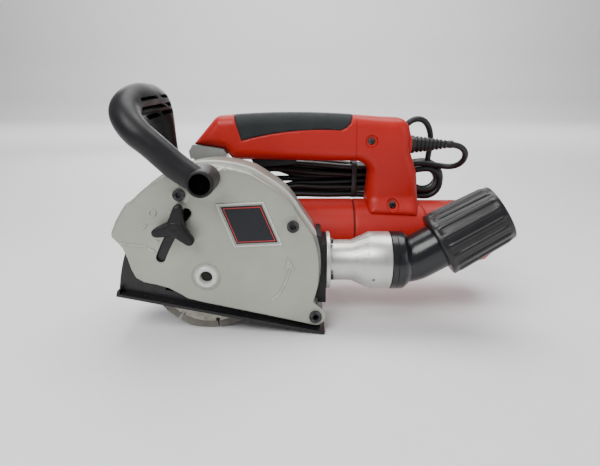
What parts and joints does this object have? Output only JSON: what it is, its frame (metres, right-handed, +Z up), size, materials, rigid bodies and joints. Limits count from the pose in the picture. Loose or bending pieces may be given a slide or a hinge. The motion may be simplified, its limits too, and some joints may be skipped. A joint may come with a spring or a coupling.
{
  "type": "wall chaser",
  "caption": "Handheld twin-disc wall chaser: silver guard with sliding base shoe, red motor body and rear handle, front hoop handle, dust port with swivelling hose sleeve.",
  "frame": {"origin": "middle of the standing tool's box, on the surface it stands on", "axes": "+X from the front handle back towards the motor's end, +Y from the front cover towards the motor side, +Z up as it stands on its discs and the shoe's rear edge"},
  "size_m": [0.4142, 0.2015, 0.2489],
  "materials": {
    "cast_silver": "satin silver-grey paint on a casting",
    "gearbox_alloy": "as cast",
    "bright_steel": "turned",
    "black_screw": "black oxide",
    "label": "gloss",
    "red_plastic": "fine moulded texture",
    "grip_rubber": "matt soft grip",
    "black_plastic": "satin moulded",
    "black_coated_steel": "black powder coat",
    "port_aluminium": "satin",
    "disc_steel": "ground, dulled",
    "gear_steel": "oiled",
    "laminated_iron": "laminated",
    "copper": "turned copper",
    "brass_parts": "plain",
    "cord_rubber": "satin",
    "tie_plastic": "plain"
  },
  "bodies": {
    "frame": {"guard_cover": "cast_silver", "guard_housing": "cast_silver", "cover_bush": "bright_steel", "cover_screws": "black_screw", "label_plate": "label", "pivot_pin": "black_screw", "bearing_plate": "gearbox_alloy", "gearbox_housing": "gearbox_alloy", "gearbox_screws": "black_screw", "spindle_bearings": "bright_steel", "motor_bearings": "bright_steel", "motor_front_housing": "red_plastic", "motor_rear_housing": "red_plastic", "stator": "laminated_iron", "brush_holders": "brass_parts", "handle_shell_near": "red_plastic", "handle_shell_far": "red_plastic", "soft_grip": "grip_rubber", "handle_screws": "black_screw", "switch_module": "black_plastic", "front_handle": "black_plastic", "front_handle_screws": "black_screw", "duct_plate": "black_plastic", "dust_port": "port_aluminium", "port_screws": "black_screw", "strain_relief": "cord_rubber", "cord_lead": "cord_rubber", "cord_loop": "cord_rubber", "cord_hank": "cord_rubber", "hank_tie": "tie_plastic", "plug": "cord_rubber", "trigger_pin": "bright_steel"},
    "spindle": {"spindle": "bright_steel", "inner_flange": "bright_steel", "spacer_rings": "bright_steel", "near_disc": "disc_steel", "far_disc": "disc_steel", "outer_nut": "bright_steel", "crown_gear": "gear_steel"},
    "rotor": {"rotor_shaft": "bright_steel", "armature_core": "laminated_iron", "commutator": "copper", "cooling_fan": "black_plastic", "pinion": "gear_steel"},
    "shoe": {"base_shoe": "black_coated_steel", "shoe_stud": "bright_steel"},
    "depth_knob": {"star_knob": "black_plastic", "knob_washer": "bright_steel"},
    "trigger": {"trigger": "black_plastic"},
    "lock_off": {"lock_off_button": "black_plastic"},
    "spindle_lock": {"spindle_lock": "black_plastic"},
    "elbow": {"dust_elbow": "black_plastic", "hose_sleeve": "black_plastic"}
  },
  "joints": [
    {"name": "spindle_spin", "type": "hinge", "parent": "frame", "child": "spindle", "pos_m": [-0.11588, 0.00375, 0.0625], "axis": [0, 1, 0], "continuous": true},
    {"name": "rotor_spin", "type": "hinge", "parent": "frame", "child": "rotor", "pos_m": [0.08412, 0.05475, 0.0775], "axis": [1, 0, 0], "continuous": true},
    {"name": "shoe_tilt", "type": "hinge", "parent": "frame", "child": "shoe", "pos_m": [-0.00588, -0.02125, 0.0187], "axis": [0, -1, 0], "range_deg": [-2.5, 12.6]},
    {"name": "knob_turn", "type": "hinge", "parent": "shoe", "child": "depth_knob", "pos_m": [-0.14099, -0.06625, 0.11686], "axis": [0, -1, 0], "range_deg": [0, 180]},
    {"name": "trigger_pull", "type": "hinge", "parent": "frame", "child": "trigger", "pos_m": [-0.07788, 0.05475, 0.171], "axis": [0, -1, 0], "range_deg": [0, 4.5], "stiffness_Nm_per_rad": 2, "springref_deg": -8.59},
    {"name": "lock_off_press", "type": "slide", "parent": "frame", "child": "lock_off", "axis": [0, -1, 0], "range_m": [0, 0.003], "stiffness_N_per_m": 600, "springref_m": -0.001},
    {"name": "spindle_lock_press", "type": "slide", "parent": "frame", "child": "spindle_lock", "axis": [0, -1, 0], "range_m": [0, 0.004], "stiffness_N_per_m": 600, "springref_m": -0.001},
    {"name": "elbow_swivel", "type": "hinge", "parent": "frame", "child": "elbow", "pos_m": [0.07412, -0.02625, 0.0699], "axis": [1, 0, 0], "range_deg": [-15, 100]}
  ],
  "couplings": [
    {"joint": "rotor_spin", "follows": "spindle_spin", "ratio": 3.2222}
  ]
}
